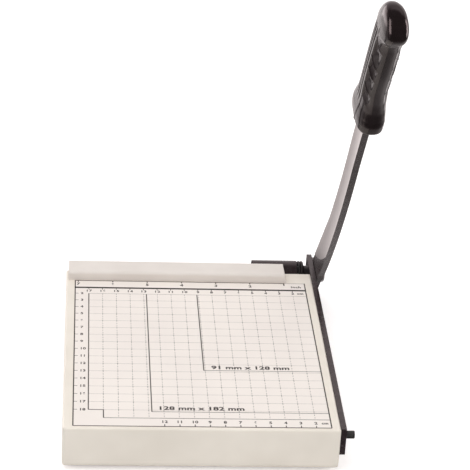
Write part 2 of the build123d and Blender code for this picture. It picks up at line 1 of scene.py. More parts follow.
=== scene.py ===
"""Business card cutter: finishes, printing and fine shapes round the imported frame.

The sections follow the cutter as it goes together: the tray with its scale, fence and feet, the fixed
blade with its stop, the pivot with its spring, and last the arm with its handle.
"""
import json
import math

import bmesh
import bpy
from mathutils import Matrix, Vector


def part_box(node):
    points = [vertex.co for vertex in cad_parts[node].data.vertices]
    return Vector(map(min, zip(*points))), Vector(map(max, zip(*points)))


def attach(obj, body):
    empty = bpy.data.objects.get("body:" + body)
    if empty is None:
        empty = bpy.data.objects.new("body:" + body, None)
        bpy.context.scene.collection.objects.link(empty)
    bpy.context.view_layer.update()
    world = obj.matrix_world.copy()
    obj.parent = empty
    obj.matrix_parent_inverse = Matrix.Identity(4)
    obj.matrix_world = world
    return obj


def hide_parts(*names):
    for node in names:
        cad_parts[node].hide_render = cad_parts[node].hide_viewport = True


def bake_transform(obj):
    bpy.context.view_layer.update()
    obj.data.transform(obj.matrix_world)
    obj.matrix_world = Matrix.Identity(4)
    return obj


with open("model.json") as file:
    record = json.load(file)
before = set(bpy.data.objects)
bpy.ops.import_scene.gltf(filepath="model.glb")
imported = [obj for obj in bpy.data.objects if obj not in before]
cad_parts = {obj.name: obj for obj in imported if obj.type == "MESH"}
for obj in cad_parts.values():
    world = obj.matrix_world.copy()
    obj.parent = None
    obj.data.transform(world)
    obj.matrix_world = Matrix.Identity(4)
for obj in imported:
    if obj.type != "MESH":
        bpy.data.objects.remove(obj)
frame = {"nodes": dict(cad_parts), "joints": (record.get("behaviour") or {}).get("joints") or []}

for startup_name in ("Cube", "Light", "Camera"):
    if startup_name in bpy.data.objects:
        bpy.data.objects.remove(bpy.data.objects[startup_name])
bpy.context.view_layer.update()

# ---- Base tray ----
# A shallow box pressed from 1.2 mm sheet steel, open underneath, with its rim turned inwards.
# It is sprayed in cream enamel after folding, so the film is a little uneven over the flat faces.


def finish(name, **sockets):
    """New material with its values set on the shader's own sockets."""
    material = bpy.data.materials.new(name)
    material.use_nodes = True
    shader = material.node_tree.nodes["Principled BSDF"]
    for socket, value in sockets.items():
        shader.inputs[socket.replace("_", " ")].default_value = value
    return material


def ramp(material, value, low, high, start=0.0, end=1.0, way="LINEAR"):
    """Turns a pattern that runs from low to high into one that runs from start to end."""
    tree = material.node_tree
    reach = tree.nodes.new("ShaderNodeMapRange")
    reach.interpolation_type = way
    for name, number in (("From Min", low), ("From Max", high), ("To Min", start), ("To Max", end)):
        reach.inputs[name].default_value = number
    tree.links.new(value, reach.inputs["Value"])
    return reach.outputs["Result"]


def mixed(material, factor, first, second, way="MIX"):
    """Mixes two colours by a pattern; a colour is three numbers or a pattern of colours."""
    tree = material.node_tree
    mix = tree.nodes.new("ShaderNodeMix")
    mix.data_type = "RGBA"
    mix.blend_type = way
    tree.links.new(factor, mix.inputs["Factor"])
    for socket, colour in (("A", first), ("B", second)):
        if isinstance(colour, tuple):
            mix.inputs[socket].default_value = (*colour, 1)
        else:
            tree.links.new(colour, mix.inputs[socket])
    return mix.outputs["Result"]


def grain(material, size, stretch=(1, 1, 1), detail=2.0):
    """Cloudy pattern over the piece, in lumps of the given size in metres; returns its strength, 0 to 1."""
    tree = material.node_tree
    place = tree.nodes.new("ShaderNodeTexCoord")
    scale = tree.nodes.new("ShaderNodeMapping")
    clouds = tree.nodes.new("ShaderNodeTexNoise")
    scale.inputs["Scale"].default_value = [1 / (size * share) for share in stretch]
    clouds.inputs["Scale"].default_value = 1.0
    clouds.inputs["Detail"].default_value = detail
    tree.links.new(place.outputs["Object"], scale.inputs["Vector"])
    tree.links.new(scale.outputs["Vector"], clouds.inputs["Vector"])
    thinnest, thickest = 0.3, 0.7  # the noise seldom leaves this range
    return ramp(material, clouds.outputs["Fac"], thinnest, thickest)


def drive(material, value, socket):
    """Lets a pattern drive one socket of the shader."""
    tree = material.node_tree
    tree.links.new(value, tree.nodes["Principled BSDF"].inputs[socket])


def relief(material, strength, height):
    """Raises the surface by up to a height in metres, following a pattern."""
    bump = material.node_tree.nodes.new("ShaderNodeBump")
    bump.inputs["Distance"].default_value = height
    material.node_tree.links.new(strength, bump.inputs["Height"])
    drive(material, bump.outputs["Normal"], "Normal")


def coat(material, tints, tint_lumps, roughness, gloss_lumps, relief_lumps=0, relief_height=0, detail=2.0):
    """Gives a finish its uneven tint and gloss, and its fine relief if it has one; all lengths in metres."""
    drive(material, mixed(material, grain(material, tint_lumps, detail=detail), *tints), "Base Color")
    drive(material, ramp(material, grain(material, gloss_lumps), 0.0, 1.0, *roughness), "Roughness")
    if relief_lumps:
        relief(material, grain(material, relief_lumps), relief_height)


def dress(node_name, material):
    """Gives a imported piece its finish."""
    mesh = frame["nodes"][node_name].data
    mesh.materials.clear()
    mesh.materials.append(material)


cream_enamel = finish("cream_enamel", Specular_IOR_Level=0.4)
coat(
    cream_enamel, tints=((0.80, 0.735, 0.65), (0.86, 0.795, 0.71)), tint_lumps=0.030,
    roughness=(0.42, 0.56), gloss_lumps=0.012, relief_lumps=0.0016, relief_height=0.000012,
)
dress("base_tray", cream_enamel)

# ---- Scale label ----
# A matt vinyl sheet, 0.2 mm thick, stuck on the deck with its back edge against the fence.
# It is printed in two inks: near-black for rules, numbers and frames, and a thin grey for the grid.
MM = 0.001
cut_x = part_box("fixed_blade")[1].x
zero_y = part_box("scale_label")[1].y
deck_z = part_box("scale_label")[0].z
label_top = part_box("scale_label")[1].z


def spot(x, y, z=0.0):
    """Point in millimetres from the cut, the scale's zero line and the deck."""
    return Vector((cut_x + x * MM, zero_y + y * MM, deck_z + z * MM))


vinyl = finish("printed_vinyl", Specular_IOR_Level=0.3)
coat(
    vinyl, tints=((0.85, 0.782, 0.735), (0.89, 0.821, 0.768)), tint_lumps=0.045,
    roughness=(0.5, 0.62), gloss_lumps=0.02, relief_lumps=0.0008, relief_height=0.000006,
)
dress("scale_label", vinyl)

inch, centimetre = 25.4, 10.0
frame_left, frame_right, frame_front = -180.0, -10.0, -200.0
inch_band = -11.0  # the heavy rule between the inch row and the centimetre row
top_row, bottom_row = -20.0, -190.0  # the grid's back line and its front line
grid_left = -170.0
step_left, step_front = -160.0, -180.0  # the grid's front left corner is stepped
# numbers printed along each row, and lines of the grid
inches = range(2, 8)
back_centimetres, side_centimetres, front_centimetres = range(2, 18), range(2, 19), range(2, 13)
dashed_centimetres, ruled_centimetres = range(2, 17), range(3, 19)
paper_boxes = ((128.0, 182.0, -95.0, -177.6), (91.0, 128.0, -58.6, -124.0))  # size, then place of its words
ink_thickness = 0.03
heavy_line, frame_line, box_line, thin_line = 2.1, 0.8, 0.7, 0.33
box_front_line = 0.7 * box_line
back_tick_line, side_tick_line, front_tick_line = 1.4 * thin_line, 1.3 * thin_line, 1.8 * thin_line
first_inch_tick, inch_tick, back_tick, edge_tick = 4.0, 2.4, 3.0, 2.6
dash_pitch = centimetre / 3
dash_length = 1.8
crossing_line, crossing_half = 1.4 * thin_line, 0.7  # the dashes are heavier where they meet the rules
across_line = 0.55 * thin_line  # the grid's rules from side to side


def ink_box(print_mesh, x_low, x_high, y_low, y_high):
    """Thin block of ink on the label."""
    middle = spot((x_low + x_high) / 2, (y_low + y_high) / 2)
    middle.z = label_top + ink_thickness * MM / 2
    size = ((x_high - x_low) * MM, (y_high - y_low) * MM, ink_thickness * MM, 1)
    bmesh.ops.create_cube(print_mesh, size=1, matrix=Matrix.Translation(middle) @ Matrix.Diagonal(size))


def rule_across(print_mesh, y, x_low, x_high, width):
    """Printed line from left to right."""
    ink_box(print_mesh, x_low, x_high, y - width / 2, y + width / 2)


def rule_along(print_mesh, x, y_low, y_high, width):
    """Printed line from front to back."""
    ink_box(print_mesh, x - width / 2, x + width / 2, y_low, y_high)


def finished_piece(name, built, material, body=None, smooth=False):
    """Turns a bmesh into a piece, and lets it ride on a body if one is named."""
    mesh = bpy.data.meshes.new(name)
    bmesh.ops.recalc_face_normals(built, faces=built.faces)
    built.to_mesh(mesh)
    built.free()
    mesh.materials.append(material)
    if smooth:
        mesh.shade_smooth()
    piece = bpy.data.objects.new(name, mesh)
    bpy.context.scene.collection.objects.link(piece)
    if body:
        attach(piece, body)
    return piece


dark_ink = finish("dark_ink", Specular_IOR_Level=0.25)
coat(
    dark_ink, tints=((0.022, 0.018, 0.016), (0.052, 0.044, 0.040)), tint_lumps=0.004,
    roughness=(0.45, 0.6), gloss_lumps=0.003,
)
grey_ink = finish("grey_ink", Specular_IOR_Level=0.25)
coat(
    grey_ink, tints=((0.20, 0.18, 0.17), (0.40, 0.37, 0.35)), tint_lumps=0.002,
    roughness=(0.45, 0.6), gloss_lumps=0.003,
)

# The frame, the two size boxes, the outline of the grid and all the ticks.
rules = bmesh.new()
rule_across(rules, -frame_line / 2, frame_left, -inch, frame_line)
rule_across(rules, -thin_line, -inch, frame_right, thin_line)
rule_across(rules, frame_front, frame_left, frame_right, frame_line)
rule_along(rules, frame_left, frame_front, 0, frame_line)
rule_along(rules, frame_right, frame_front, 0, frame_line)
rule_across(rules, inch_band, frame_left, frame_right, heavy_line)
rule_along(rules, grid_left, step_front, top_row, box_line)
rule_across(rules, step_front, grid_left, step_left, box_line)
rule_along(rules, step_left, bottom_row, step_front, box_line)
rule_across(rules, bottom_row, step_left, frame_right, box_front_line)
for box_width, box_depth, words_x, words_y in paper_boxes:
    rule_along(rules, -box_width, -box_depth, top_row, box_line)
    rule_across(rules, -box_depth, -box_width, frame_right, box_front_line)
for count in (1, *inches):
    rule_along(rules, -count * inch, -first_inch_tick if count == 1 else -inch_tick, 0, frame_line)
for count in back_centimetres:
    rule_along(rules, -count * centimetre, inch_band - back_tick, inch_band, back_tick_line)
for count in side_centimetres:
    rule_across(rules, -count * centimetre, frame_left, frame_left + edge_tick, side_tick_line)
for count in front_centimetres:
    rule_along(rules, -count * centimetre, frame_front, frame_front + edge_tick, front_tick_line)
finished_piece("scale_rules", rules, dark_ink, "base")

# The grid: dashed lines from back to front, and fine whole lines from side to side.
grid = bmesh.new()
for count in dashed_centimetres:
    x = -count * centimetre
    front = bottom_row if x >= step_left else step_front
    for dash in range(math.ceil((top_row - front) / dash_pitch)):
        start = top_row - dash * dash_pitch
        rule_along(grid, x, max(start - dash_length, front), start, thin_line)
    for crossing in ruled_centimetres:
        y = -crossing * centimetre
        if y >= front:
            rule_along(grid, x, y - crossing_half, y + crossing_half, crossing_line)
for count in ruled_centimetres:
    y = -count * centimetre
    rule_across(grid, y, grid_left if y > step_front else step_left, frame_right, across_line)
rule_across(grid, top_row, grid_left, frame_right, thin_line)
finished_piece("scale_grid", grid, grey_ink, "base")

# Plain numbers and units, in millimetres: the middles of their rows, then the heights of their capitals.
inch_row, back_row, front_row = -5.6, -16.0, -194.4
side_column, digit_shift = -174.9, 0.9
inch_height, number_height, front_height, size_height = 3.3, 2.9, 3.0, 4.3
unit_words = (  # each unit, its middle, the height of its capitals and how widely it is spaced
    ("inch", -16.8, -6.0, 2.9, 1.15),
    ("cm", -14.4, back_row, 2.7, 1.1),
    ("cm", -14.0, front_row, 2.6, 1.1),
)
capital_share = 0.73  # height of a capital, as a share of the font's size
weight_share = 0.045  # how far each stroke is thickened, as a share of that height


def printed_words(print_mesh, words, x, y, height, spread=1.0, stretch=1.0):
    """Flat lettering of a given height of capitals, with its middle at x and y, stretched sideways."""
    curve = bpy.data.curves.new("lettering", "FONT")
    curve.body = words
    curve.size = height / capital_share
    curve.align_x = "CENTER"
    curve.align_y = "CENTER"
    curve.space_character = spread
    curve.offset = weight_share * height
    curve.extrude = ink_thickness / 2
    sample = bpy.data.objects.new("lettering", curve)
    bpy.context.scene.collection.objects.link(sample)
    flat = bpy.data.meshes.new_from_object(sample.evaluated_get(bpy.context.evaluated_depsgraph_get()))
    middle = spot(x, y)
    middle.z = label_top + ink_thickness * MM / 2
    flat.transform(Matrix.Translation(middle) @ Matrix.Diagonal((stretch * MM, MM, MM, 1)))
    print_mesh.from_mesh(flat)
    bpy.data.objects.remove(sample)
    bpy.data.curves.remove(curve)
    bpy.data.meshes.remove(flat)


numbers = bmesh.new()
for count in inches:
    printed_words(numbers, str(count), -count * inch, inch_row, inch_height)
for count in back_centimetres:
    printed_words(numbers, str(count), -count * centimetre, back_row, number_height, spread=1.2)
for count in side_centimetres:
    x = side_column + digit_shift * (len(str(count)) - 1)
    printed_words(numbers, str(count), x, -count * centimetre, number_height, spread=1.1)
for count in front_centimetres:
    printed_words(numbers, str(count), -count * centimetre, front_row, front_height, spread=1.1)
for unit, x, y, height, spread in unit_words:
    printed_words(numbers, unit, x, y, height, spread=spread)
for box_width, box_depth, words_x, words_y in paper_boxes:
    size_words = f"{box_width:.0f} mm x {box_depth:.0f} mm"
    printed_words(numbers, size_words, words_x, words_y, size_height, spread=1.05, stretch=1.22)
finished_piece("scale_numbers", numbers, dark_ink, "base")

# ---- Paper fence ----
# A folded steel channel across the back of the deck, square to the cut, in the same cream enamel.
# Two screws hold it from under the deck, with plain washers.
fence_enamel = finish("fence_enamel", Specular_IOR_Level=0.4)
coat(
    fence_enamel, tints=((0.745, 0.685, 0.635), (0.80, 0.74, 0.69)), tint_lumps=0.025,
    roughness=(0.42, 0.55), gloss_lumps=0.010, relief_lumps=0.0014, relief_height=0.000012,
)
dress("paper_fence", fence_enamel)

zinc_plate = finish("zinc_plate", Metallic=1.0)
coat(
    zinc_plate, tints=((0.52, 0.53, 0.55), (0.70, 0.70, 0.71)), tint_lumps=0.0025,
    roughness=(0.28, 0.45), gloss_lumps=0.0012,
)
for fastener in ("fence_screws", "fence_washers"):
    dress(fastener, zinc_plate)

# ---- Feet ----
# Four black rubber discs at the corners of the tray's rim.
# Each is moulded with a recess, and one zinc-plated rivet in it holds the foot to the rim.
foot_rubber = finish("foot_rubber", Specular_IOR_Level=0.3)
coat(
    foot_rubber, tints=((0.018, 0.017, 0.017), (0.045, 0.042, 0.040)), tint_lumps=0.003,
    roughness=(0.65, 0.85), gloss_lumps=0.002, relief_lumps=0.0005, relief_height=0.00003,
)
dress("rubber_feet", foot_rubber)
dress("foot_rivets", zinc_plate)

# ---- Fixed blade ----
# A flat bar of hard steel along the right side, level with the deck, painted black all over.
# Four screws hold it from inside the tray, and its tail runs on to carry the pivot.
black_paint = finish("black_paint", Specular_IOR_Level=0.5)
coat(
    black_paint, tints=((0.020, 0.012, 0.013), (0.040, 0.027, 0.029)), tint_lumps=0.006, detail=4.0,
    roughness=(0.18, 0.30), gloss_lumps=0.004, relief_lumps=0.0009, relief_height=0.00002,
)
dress("fixed_blade", black_paint)
for fastener in ("blade_screws", "blade_screw_washers"):
    dress(fastener, zinc_plate)

# ---- Stop stud ----
# A headed, blackened steel stud through the bar's front end, with a soft sleeve that catches the arm.
# A zinc-plated nut holds it from inside the tray.
blackened_steel = finish("blackened_steel", Metallic=0.6)
coat(
    blackened_steel, tints=((0.020, 0.019, 0.020), (0.050, 0.046, 0.048)), tint_lumps=0.003,
    roughness=(0.32, 0.48), gloss_lumps=0.002,
)
dress("stop_screw", blackened_steel)
dress("stop_sleeve", foot_rubber)
dress("stop_nut", zinc_plate)

# ---- Pivot ----
# A domed bolt keyed in the arm turns in a blackened bush in the bar's tail. A dished washer under
# its head and a lock nut at the far end of the spring cup press the two blades together.
for turned_piece in ("pivot_bush", "anchor_pin"):
    dress(turned_piece, blackened_steel)
for fastener in ("pivot_bolt", "pivot_washer", "cup_washer", "cup_nut"):
    dress(fastener, zinc_plate)

# ---- Spring cup ----
# A thin steel tube round the coil behind the fence, in the same black paint as the bar.
# Its web is keyed to the pivot bolt, so it turns with the arm and winds the spring.
dress("spring_cup", black_paint)

# ---- Return spring ----
# Oil-blackened spring wire, 2 mm thick, wound in a close coil. The left tang sits in the cup's web
# and turns with the arm; the right leg bears on the anchor pin under the bar's tail and stays still.
wire_radius = 1.0
coil_radius = 7.0
half_turns = 27
exposed_radius = 7.5  # the last turns stand wider, level with the cup
widening = 1.0  # the coil widens over this length, up to the cup's mouth
tang_length = 2.0
tang_bend = 0.9  # from the tang to the coil
coil_gap = 0.3  # from the coil to the cup's web and to the bush
leg_reach = 16.5
turn_steps = 20
wire_sides = 12
hinge = Vector(frame["joints"][0]["pos_m"])
web_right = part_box("return_spring")[0].x + tang_length * MM
coil_start = web_right + (coil_gap + wire_radius) * MM
coil_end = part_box("pivot_bush")[0].x - (coil_gap + wire_radius) * MM
cup_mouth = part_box("spring_cup")[1].x


def smooth_step(value, low, high):
    """Rises smoothly from 0 at low to 1 at high."""
    share = min(max((value - low) / (high - low), 0.0), 1.0)
    return share * share * (3 - 2 * share)


def wire_line():
    """Middle line of the wire: tang, coil with its last half turn closed, then the straight leg."""
    tang_end = Vector((web_right - tang_length * MM, hinge.y, hinge.z + coil_radius * MM))
    tang_start = Vector((coil_start - tang_bend * MM, hinge.y, hinge.z + coil_radius * MM))
    line = [tang_end, tang_start]
    steps = half_turns * turn_steps // 2
    for step in range(steps + 1):
        turn = math.pi * half_turns * step / steps
        along = coil_start + (coil_end - coil_start) * min(step / (steps - turn_steps // 2), 1.0)
        widened = smooth_step(along, cup_mouth - widening * MM, cup_mouth)
        radius = coil_radius + (exposed_radius - coil_radius) * widened
        side = Vector((0, math.sin(-turn), math.cos(turn))) * radius * MM
        line.append(Vector((along, hinge.y, hinge.z)) + side)
    line.append(line[-1] + Vector((0, leg_reach * MM, 0)))
    return line


def skin(built, rings):
    """Closes a row of rings into one solid: walls from ring to ring and a cap at each end."""
    for low, high in zip(rings, rings[1:]):
        for side in range(len(low)):
            following = (side + 1) % len(low)
            built.faces.new((low[side], low[following], high[following], high[side]))
    built.faces.new(rings[0])
    built.faces.new(rings[-1])
    return built


def tube(line, radius, sides):
    """Round bar along a line, closed at both ends."""
    built = bmesh.new()
    across = Vector((1, 0, 0))
    rings = []
    for index, point in enumerate(line):
        ahead = (line[min(index + 1, len(line) - 1)] - line[max(index - 1, 0)]).normalized()
        across = (across - ahead * across.dot(ahead)).normalized()
        if across.length < 0.5:  # the line runs the same way as across
            across = ahead.orthogonal().normalized()
        beside = ahead.cross(across)
        ring = []
        for side in range(sides):
            turn = 2 * math.pi * side / sides
            outward = across * math.cos(turn) + beside * math.sin(turn)
            ring.append(built.verts.new(point + outward * radius))
        rings.append(ring)
    return skin(built, rings)


spring_steel = finish("spring_steel", Specular_IOR_Level=0.3)
coat(
    spring_steel, tints=((0.010, 0.009, 0.009), (0.024, 0.021, 0.021)), tint_lumps=0.002,
    roughness=(0.42, 0.55), gloss_lumps=0.0015,
)
wound_wire = tube(wire_line(), wire_radius * MM, wire_sides)
spring = finished_piece("torsion_spring", wound_wire, spring_steel, smooth=True)
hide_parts("return_spring")
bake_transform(spring)

# ---- Blade arm ----
# The moving blade, cut from 4.5 mm plate. Its inner face is ground bright down to a curved boundary; a
# painted reflection lightens it towards the cutting edge, up to a painted highlight on a narrow land along
# the edge.
# The root, the spine and the outer side are painted black.
blade_gap = 0.05  # between the two blades
ground_face = cut_x + blade_gap * MM
face_tolerance = 0.1  # what lies this near the ground face, and faces the cut squarely, is ground
facing_left = -0.9
sheen_width, land_width, land_blend = 15.0, 2.0, 0.5
edge_points = ((28.5, -11.9), (127.0, -10.1), (225.4, 1.35))  # reach and height on the lowered arm
raised_angle = 45.5
open_turn = math.radians(raised_angle)
# painted reflection on the ground face: its grey rises towards the cutting edge, to a painted highlight on
# the land
ground_grey, sheen_grey_by_land = (0.235, 0.217, 0.215), (0.41, 0.3916, 0.3875)
land_highlight_grey, edge_highlight_grey = (0.50, 0.4775, 0.4725), (0.50, 0.485, 0.475)
streak_lumps, streak_stretch, streak_shade = 0.0012, (1, 0.25, 9), (0.86, 0.86, 0.87)
paint_thin, paint_full, paint_lumps = (0.028, 0.021, 0.022), (0.048, 0.038, 0.039), 0.006
painted_roughness, ground_roughness, streak_roughness = 0.20, 0.36, 0.12
blade_relief_lumps, blade_relief_height = 0.0009, 0.000015


def raised_point(reach, height):
    """Point of the lowered arm, swung up to the raised rest, on the plane of the ground face."""
    forward = reach * math.cos(open_turn) - height * math.sin(open_turn)
    up = reach * math.sin(open_turn) + height * math.cos(open_turn)
    return Vector((ground_face, hinge.y - forward * MM, hinge.z + up * MM))


def circle_through(points):
    """Middle and radius of the circle through three points of the plane of the blade."""
    (ay, az), (by, bz), (cy, cz) = [(point.y, point.z) for point in points]
    a_square, b_square, c_square = ay * ay + az * az, by * by + bz * bz, cy * cy + cz * cz
    double = 2 * (ay * (bz - cz) + by * (cz - az) + cy * (az - bz))
    middle_y = (a_square * (bz - cz) + b_square * (cz - az) + c_square * (az - bz)) / double
    middle_z = (a_square * (cy - by) + b_square * (ay - cy) + c_square * (by - ay)) / double
    middle = Vector((ground_face, middle_y, middle_z))
    return middle, (middle - points[0]).length


def math_node(material, operation, first, second=0.0):
    """One sum on patterns; either value is a number or a pattern."""
    tree = material.node_tree
    node = tree.nodes.new("ShaderNodeMath")
    node.operation = operation
    for socket, value in zip(node.inputs, (first, second)):
        if isinstance(value, (int, float)):
            socket.default_value = value
        else:
            tree.links.new(value, socket)
    return node.outputs["Value"]


def place_part(material, output, axis):
    """One part of the place on the piece, or of the way that its surface faces."""
    tree = material.node_tree
    coordinate = tree.nodes.new("ShaderNodeTexCoord")
    parts = tree.nodes.new("ShaderNodeSeparateXYZ")
    tree.links.new(coordinate.outputs[output], parts.inputs["Vector"])
    return parts.outputs[axis]


def ground_share(material):
    """Pattern for the painted reflection: 0 a sheen width in from the curved cutting edge, rising to 1 at it.
    """
    middle, radius = circle_through([raised_point(*point) for point in edge_points])
    across_y = math_node(material, "SUBTRACT", place_part(material, "Object", "Y"), middle.y)
    across_z = math_node(material, "SUBTRACT", place_part(material, "Object", "Z"), middle.z)
    square_y = math_node(material, "MULTIPLY", across_y, across_y)
    square_z = math_node(material, "MULTIPLY", across_z, across_z)
    from_middle = math_node(material, "SQRT", math_node(material, "ADD", square_y, square_z))
    return ramp(material, from_middle, radius - sheen_width * MM, radius)


def ground_and_painted():
    """Plate steel: bright and finely ground on the flat inner face, black paint on all the rest."""
    material = finish("ground_and_painted", Specular_IOR_Level=0.3)
    facing = math_node(material, "LESS_THAN", place_part(material, "Normal", "X"), facing_left)
    on_face = ground_face + face_tolerance * MM
    level = math_node(material, "LESS_THAN", place_part(material, "Object", "X"), on_face)
    bright = math_node(material, "MULTIPLY", facing, level)
    drive(material, bright, "Metallic")

    # Painted reflection and highlight: the ground face turns lighter towards the cutting edge, lightest on
    # the land.
    land = material.node_tree.nodes.new("ShaderNodeValToRGB")
    stops = land.color_ramp.elements
    stops[0].color = (*ground_grey, 1)
    stops[1].color = (*edge_highlight_grey, 1)
    for width, grey in ((land_width + land_blend, sheen_grey_by_land), (land_width, land_highlight_grey)):
        stops.new(1 - width / sheen_width).color = (*grey, 1)
    material.node_tree.links.new(ground_share(material), land.inputs["Fac"])
    streaks = grain(material, streak_lumps, stretch=streak_stretch, detail=3.0)
    ground = mixed(material, streaks, land.outputs["Color"], streak_shade, way="MULTIPLY")
    paint = mixed(material, grain(material, paint_lumps, detail=4.0), paint_thin, paint_full)
    drive(material, mixed(material, bright, paint, ground), "Base Color")

    by_face = math_node(material, "MULTIPLY", bright, ground_roughness - painted_roughness)
    by_streak = math_node(material, "MULTIPLY", streaks, streak_roughness)
    rough = math_node(material, "ADD", math_node(material, "ADD", by_face, painted_roughness), by_streak)
    drive(material, rough, "Roughness")
    relief(material, grain(material, blade_relief_lumps), blade_relief_height)
    return material


dress("blade_arm", ground_and_painted())
dress("handle_pins", zinc_plate)

# ---- Handle ----
# A glossy black moulding pressed over the arm's tang and cross-pinned: a flared skirt over the blade,
# a crease along each side, slanted finger ribs on both flanks and a hooked pommel.
grip_tilt = 6.5  # the grip leans back from the arm by this angle
handle_turn = math.radians(raised_angle + grip_tilt)
grip_start, grip_end = 276.5, 404.2
# place along the handle, then its left and right sides, its back and front, how square its back and its
# front are, and how far its front leans to the right
handle_forms = (
    (276.5, -5.8, 12.2, -0.9, 28.0, 3.6, 2.7, 1.3),
    (278.2, -6.3, 12.5, -1.8, 28.5, 3.8, 2.8, 1.5),
    (284.0, -6.4, 12.5, -2.4, 28.3, 3.6, 2.8, 1.5),
    (290.0, -6.1, 12.2, -2.4, 26.6, 3.2, 2.8, 1.2),
    (298.0, -5.7, 11.8, -2.0, 24.8, 2.7, 2.4, 0.8),
    (308.0, -5.8, 11.4, -2.0, 23.9, 2.6, 2.3, 0.4),
    (318.0, -6.0, 11.0, -2.0, 23.8, 2.6, 2.3, 0.1),
    (345.0, -6.1, 11.2, -2.0, 24.4, 2.7, 2.3, 0.0),
    (372.0, -5.9, 11.2, -2.0, 24.4, 2.7, 2.3, 0.0),
    (380.0, -5.6, 11.0, -2.0, 24.8, 2.7, 2.5, 0.2),
    (384.0, -5.7, 10.8, -1.6, 26.4, 2.6, 2.9, 0.6),
    (388.0, -5.5, 10.8, -0.6, 28.2, 2.5, 3.1, 1.1),
    (393.0, -5.2, 10.4, 1.2, 28.8, 2.3, 3.2, 1.4),
    (397.5, -4.6, 9.8, 3.5, 27.4, 2.2, 3.2, 1.5),
    (400.8, -3.8, 8.9, 6.2, 25.0, 2.2, 3.0, 1.4),
    (403.0, -2.4, 7.2, 9.4, 21.8, 2.2, 2.7, 1.2),
    (404.2, -0.2, 4.9, 12.8, 18.4, 2.2, 2.4, 0.8),
)
left_flank, right_flank = (0.35, 0.75), (0.55, 0.85)  # shares of the half width where each flank sets in
left_crease, right_crease = 16.8, 9.0  # the fingers close over the right flank, so it is hollow further back
crease_bead, crease_bead_width, crease_bead_lift = 0.5, 1.6, 0.3
crease_step = 1.0
crease_fade = (384.0, 392.0)
rib_places = (324.5, 343.5, 356.5, 377.0)  # where each rib leaves the crease
rib_slant = 1.35
rib_bead, rib_bead_width = 0.5, 3.2
lowest_hollow = 15.0
left_hollow_depth, right_hollow_depth = 1.9, 1.235
hollow_skew = 0.6  # under 1, a hollow is deepest close below its rib
front_share = 0.5  # how much of a hollow's depth is also taken from the front
flank_grooves = (6.6, 9.8, 13.2)  # across, behind the creases
groove_width, groove_depth = 2.3, 1.1
groove_margin = 2.0  # no groove comes nearer to a crease
grooves_begin, grooves_end = (293.0, 304.0), (378.0, 388.0)
skirt_recess = ((0.20, 3.0), (0.17, 0.4), (0.15, 0.0), (0.04, 0.0))  # share drawn in, and depth
crown_dome = 0.4
crown_insets = (0.0, 0.25, 0.5, 0.75, 0.95)
ring_pitch, end_pitch_share = 0.45, 0.4
skirt_end, pommel_start = 280.0, 396.0  # between these the rings keep their full pitch
grip_sides = 176


def flow(rows, place):
    """Row of a table at any place between its rows, on smooth curves that never overshoot."""
    index = 0
    while index < len(rows) - 2 and rows[index + 1][0] <= place:
        index += 1
    low, high = rows[index], rows[index + 1]
    run = high[0] - low[0]
    share = (place - low[0]) / run
    values = []
    for column in range(1, len(low)):
        slopes = [
            (right[column] - left[column]) / (right[0] - left[0])
            for left, right in zip(rows, rows[1:])
        ]
        ends = []
        for knot in (index, index + 1):
            before = slopes[max(knot - 1, 0)]
            after = slopes[min(knot, len(slopes) - 1)]
            ends.append(2 * before * after / (before + after) if before * after > 0 else 0.0)
        rise = share * share * (3 - 2 * share)
        values.append(
            low[column] + (high[column] - low[column]) * rise
            + run * ends[0] * share * (1 - share) ** 2
            - run * ends[1] * share ** 2 * (1 - share)
        )
    return values


def bell(value, middle, width):
    """Smooth bump of height 1 and the given width."""
    share = abs(value - middle) / (width / 2)
    return (1 + math.cos(math.pi * share)) / 2 if share < 1 else 0.0


def rib_hollow(place):
    """Depth share of the finger hollows: it drops sharply below each rib and rises slowly to the next."""
    edges = (rib_places[0] - lowest_hollow,) + rib_places
    for low, high in zip(edges, edges[1:]):
        if low < place < high:
            return math.sin(math.pi * ((high - place) / (high - low)) ** hollow_skew)
    return 0.0


def handle_point(along, turn):
    """Sideways place and place across of the handle's surface, at a place along it and a turn round it."""
    left, right, back, front, square_back, square_front, lean = flow(handle_forms, along)
    beside, ahead = math.cos(turn), math.sin(turn)
    square = square_front if ahead > 0 else square_back
    reach_out = (abs(beside) ** square + abs(ahead) ** square) ** (-1 / square)
    wide, deep = beside * reach_out, ahead * reach_out
    across = (back + front) / 2 + (front - back) / 2 * deep

    on_left = wide < 0
    crease = left_crease if on_left else right_crease
    depth = left_hollow_depth if on_left else right_hollow_depth
    flank = smooth_step(-wide, *left_flank) + smooth_step(wide, *right_flank)
    place = along + rib_slant * (across - left_crease)
    hollow = depth * smooth_step(across, crease, crease + crease_step) * rib_hollow(place)
    beads = sum(bell(place, rib, rib_bead_width) for rib in rib_places)
    ribs = rib_bead * beads * smooth_step(across, crease - crease_step, crease + crease_step)
    bead = bell(across, crease - crease_bead_lift, crease_bead_width) * (1 - smooth_step(along, *crease_fade))
    on_grip = smooth_step(along, *grooves_begin) * (1 - smooth_step(along, *grooves_end))
    last_groove = crease - groove_margin
    grooves = sum(bell(across, groove, groove_width) for groove in flank_grooves if groove < last_groove)
    outward = flank * (crease_bead * bead + ribs - groove_depth * grooves * on_grip - hollow)

    x = (left + right) / 2 + wide * ((right - left) / 2 + outward) + lean * deep
    return x, across - flank * hollow * front_share * max(deep, 0.0)


def on_handle(along, x, across):
    """Place in the frame of a point that is given along the handle and across it, towards the edge."""
    forward = along * math.cos(handle_turn) + across * math.sin(handle_turn)
    up = along * math.sin(handle_turn) - across * math.cos(handle_turn)
    return Vector((cut_x + x * MM, hinge.y - forward * MM, hinge.z + up * MM))


